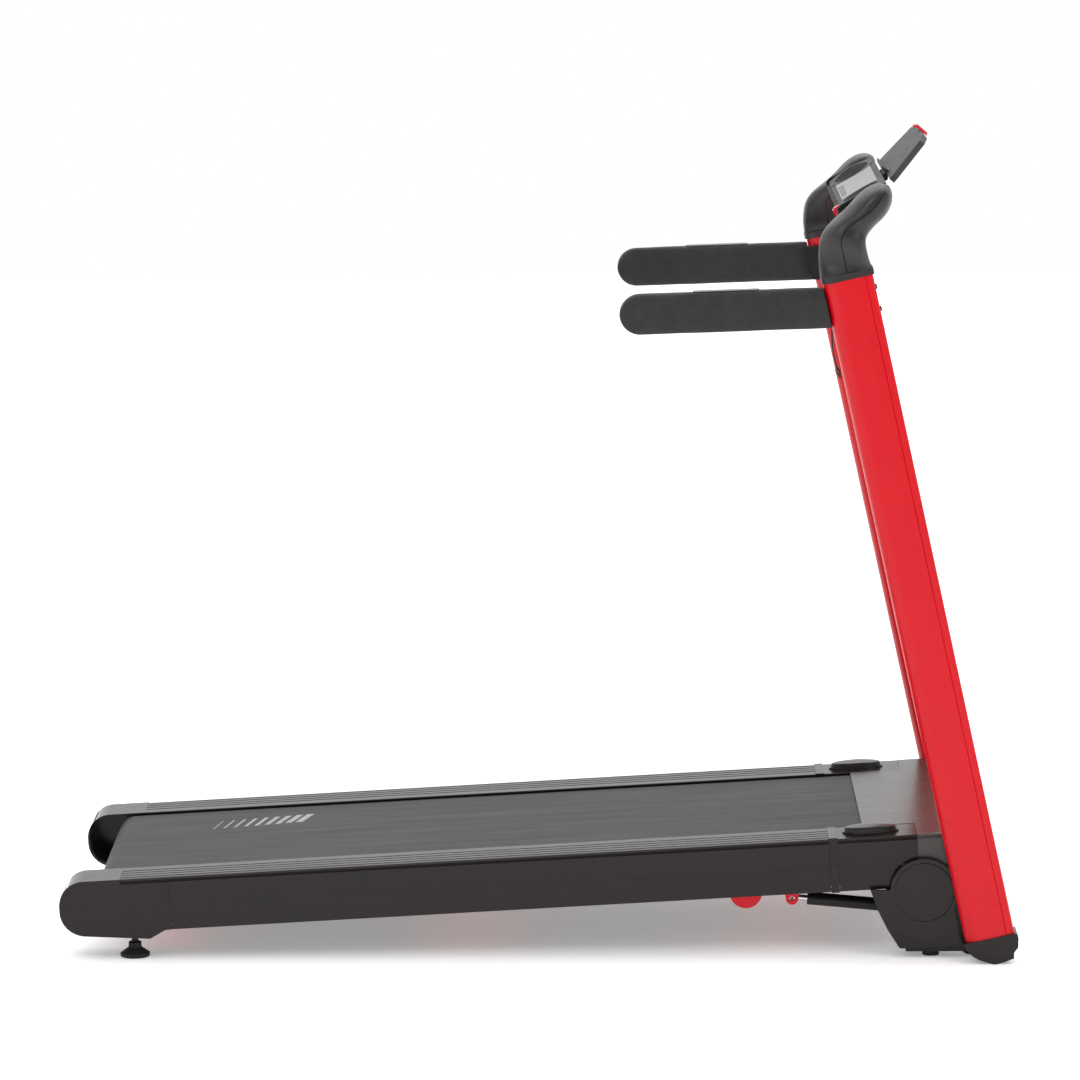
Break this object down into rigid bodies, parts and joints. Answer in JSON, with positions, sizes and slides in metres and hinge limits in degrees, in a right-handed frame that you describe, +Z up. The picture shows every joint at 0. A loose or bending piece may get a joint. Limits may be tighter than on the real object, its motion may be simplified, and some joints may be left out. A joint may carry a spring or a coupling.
{
  "type": "folding motorised treadmill",
  "caption": "Folding motorised treadmill: flat running deck between ribbed foot rails, two leaning uprights with side handles, and a small console with a tablet holder.",
  "frame": {"origin": "on the floor under the middle of the bounding box", "axes": "+Z up, +X towards the console end, -Y the runner's right-hand side"},
  "size_m": [1.4649, 0.682, 1.2513],
  "materials": {
    "red_paint": "satin paint",
    "steel": "plain",
    "dark_casing": "fine texture",
    "grey_casing": "satin",
    "console_casing": "satin",
    "face_grey": "fine texture",
    "lens": "gloss",
    "foam": "soft foam",
    "rubber": "matt",
    "belt": "diamond weave",
    "board": "waxed laminate",
    "bare_steel": "zinc plated",
    "aluminium": "cast",
    "circuit": "solder mask",
    "key_red": "gloss",
    "cord": "braided",
    "chrome": "polished"
  },
  "bodies": {
    "frame": {"base_beam": "red_paint", "base_covers": "dark_casing", "base_pads": "rubber", "base_side_plates": "red_paint", "upright_left": "red_paint", "upright_right": "red_paint", "upright_boots": "dark_casing", "upright_collars": "console_casing", "console_arms_rear": "console_casing", "console_arms_front": "console_casing", "console_lower_shell": "console_casing", "console_upper_shell": "console_casing", "console_face_panel": "face_grey", "display_lens": "lens", "speaker_grilles": "console_casing", "console_board": "circuit", "side_handle_left": "foam", "side_handle_right": "foam", "handle_mounts": "console_casing", "pulse_plates": "chrome"},
    "deck": {"foot_rail_left": "dark_casing", "foot_rail_right": "dark_casing", "rear_caps": "dark_casing", "rail_front_covers": "dark_casing", "joint_straps": "dark_casing", "bumper_pads": "rubber", "motor_hood": "grey_casing", "motor_underpan": "dark_casing", "deck_side_tubes": "red_paint", "pivot_bushes": "bare_steel", "deck_crossmembers": "red_paint", "running_board": "board", "board_cushions": "rubber", "running_belt": "belt", "roller_axles": "steel", "motor_housing": "aluminium", "controller_board": "circuit", "drive_belt": "rubber", "power_panel": "dark_casing"},
    "front_roller": {"front_roller": "steel"},
    "rear_roller": {"rear_roller": "steel"},
    "motor_rotor": {"motor_rotor": "bare_steel"},
    "latch_pedal": {"latch_pedal": "red_paint"},
    "strut_cylinder": {"strut_cylinder": "dark_casing"},
    "strut_rod": {"strut_rod": "chrome"},
    "levelling_foot_left": {"levelling_foot_left": "rubber"},
    "levelling_foot_right": {"levelling_foot_right": "rubber"},
    "transport_wheel_left": {"transport_wheel_left": "rubber"},
    "transport_wheel_right": {"transport_wheel_right": "rubber"},
    "tablet_holder": {"tablet_holder": "console_casing"},
    "tablet_clamp": {"tablet_clamp": "key_red"},
    "power_rocker": {"power_rocker": "key_red"},
    "button_stop": {"button_stop": "key_red"},
    "button_start": {"button_start": "face_grey"},
    "button_mode": {"button_mode": "face_grey"},
    "button_speed_down": {"button_speed_down": "face_grey"},
    "button_speed_up": {"button_speed_up": "face_grey"},
    "safety_key": {"safety_key": "key_red", "lanyard_cord": "cord", "lanyard_clip": "dark_casing"}
  },
  "joints": [
    {"name": "deck_fold", "type": "hinge", "parent": "frame", "child": "deck", "pos_m": [0.5913, 0, 0.1037], "axis": [0, 1, 0], "range_deg": [0, 72]},
    {"name": "front_roller_spin", "type": "hinge", "parent": "deck", "child": "front_roller", "pos_m": [0.52636, 0, 0.15732], "axis": [0, 1, 0], "continuous": true},
    {"name": "rear_roller_spin", "type": "hinge", "parent": "deck", "child": "rear_roller", "pos_m": [-0.65297, 0, 0.09448], "axis": [0, 1, 0], "continuous": true},
    {"name": "motor_spin", "type": "hinge", "parent": "deck", "child": "motor_rotor", "pos_m": [0.61482, 0, 0.15102], "axis": [0, 1, 0], "continuous": true},
    {"name": "latch_pedal_press", "type": "hinge", "parent": "deck", "child": "latch_pedal", "pos_m": [0.32068, -0.22, 0.08928], "axis": [0, 1, 0], "range_deg": [-22, 22], "stiffness_Nm_per_rad": 1.2},
    {"name": "strut_pivot", "type": "hinge", "parent": "frame", "child": "strut_cylinder", "pos_m": [0.6009, -0.22, 0.0598], "axis": [0, 1, 0], "range_deg": [0, 63]},
    {"name": "strut_slide", "type": "slide", "parent": "strut_cylinder", "child": "strut_rod", "axis": [-0.9956, 0, 0.0941], "range_m": [0, 0.0395]},
    {"name": "levelling_foot_left_turn", "type": "hinge", "parent": "deck", "child": "levelling_foot_left", "pos_m": [-0.6196, 0.258, 0.01], "axis": [0, 0, 1], "continuous": true},
    {"name": "levelling_foot_right_turn", "type": "hinge", "parent": "deck", "child": "levelling_foot_right", "pos_m": [-0.6196, -0.258, 0.01], "axis": [0, 0, 1], "continuous": true},
    {"name": "transport_wheel_left_spin", "type": "hinge", "parent": "frame", "child": "transport_wheel_left", "pos_m": [0.662, 0.273, 0.017], "axis": [0, 1, 0], "continuous": true},
    {"name": "transport_wheel_right_spin", "type": "hinge", "parent": "frame", "child": "transport_wheel_right", "pos_m": [0.662, -0.273, 0.017], "axis": [0, 1, 0], "continuous": true},
    {"name": "tablet_holder_tilt", "type": "hinge", "parent": "frame", "child": "tablet_holder", "pos_m": [0.541, 0, 1.173], "axis": [0, 1, 0], "range_deg": [-8, 40]},
    {"name": "tablet_clamp_slide", "type": "slide", "parent": "tablet_holder", "child": "tablet_clamp", "axis": [0.6561, 0, 0.7547], "range_m": [0, 0.02], "stiffness_N_per_m": 60, "springref_m": -0.005},
    {"name": "power_rocker_tip", "type": "hinge", "parent": "deck", "child": "power_rocker", "pos_m": [0.66731, -0.116, 0.13379], "axis": [0, 1, 0], "range_deg": [0, 10]},
    {"name": "safety_key_pull", "type": "slide", "parent": "frame", "child": "safety_key", "axis": [-0.8625, 0, -0.506], "range_m": [0, 0.06]},
    {"name": "button_stop_press", "type": "slide", "parent": "frame", "child": "button_stop", "axis": [0.506, 0, -0.8625], "range_m": [0, 0.001], "stiffness_N_per_m": 900, "springref_m": -0.0005},
    {"name": "button_speed_down_press", "type": "slide", "parent": "frame", "child": "button_speed_down", "axis": [0.506, 0, -0.8625], "range_m": [0, 0.001], "stiffness_N_per_m": 900, "springref_m": -0.0005},
    {"name": "button_mode_press", "type": "slide", "parent": "frame", "child": "button_mode", "axis": [0.506, 0, -0.8625], "range_m": [0, 0.001], "stiffness_N_per_m": 900, "springref_m": -0.0005},
    {"name": "button_speed_up_press", "type": "slide", "parent": "frame", "child": "button_speed_up", "axis": [0.506, 0, -0.8625], "range_m": [0, 0.001], "stiffness_N_per_m": 900, "springref_m": -0.0005},
    {"name": "button_start_press", "type": "slide", "parent": "frame", "child": "button_start", "axis": [0.506, 0, -0.8625], "range_m": [0, 0.001], "stiffness_N_per_m": 900, "springref_m": -0.0005}
  ],
  "couplings": [
    {"joint": "rear_roller_spin", "follows": "front_roller_spin", "ratio": 1},
    {"joint": "motor_spin", "follows": "front_roller_spin", "ratio": 1.635},
    {"joint": "strut_pivot", "follows": "deck_fold", "ratio": 0.869},
    {"joint": "strut_slide", "follows": "deck_fold", "m_per_rad": 0.031}
  ]
}
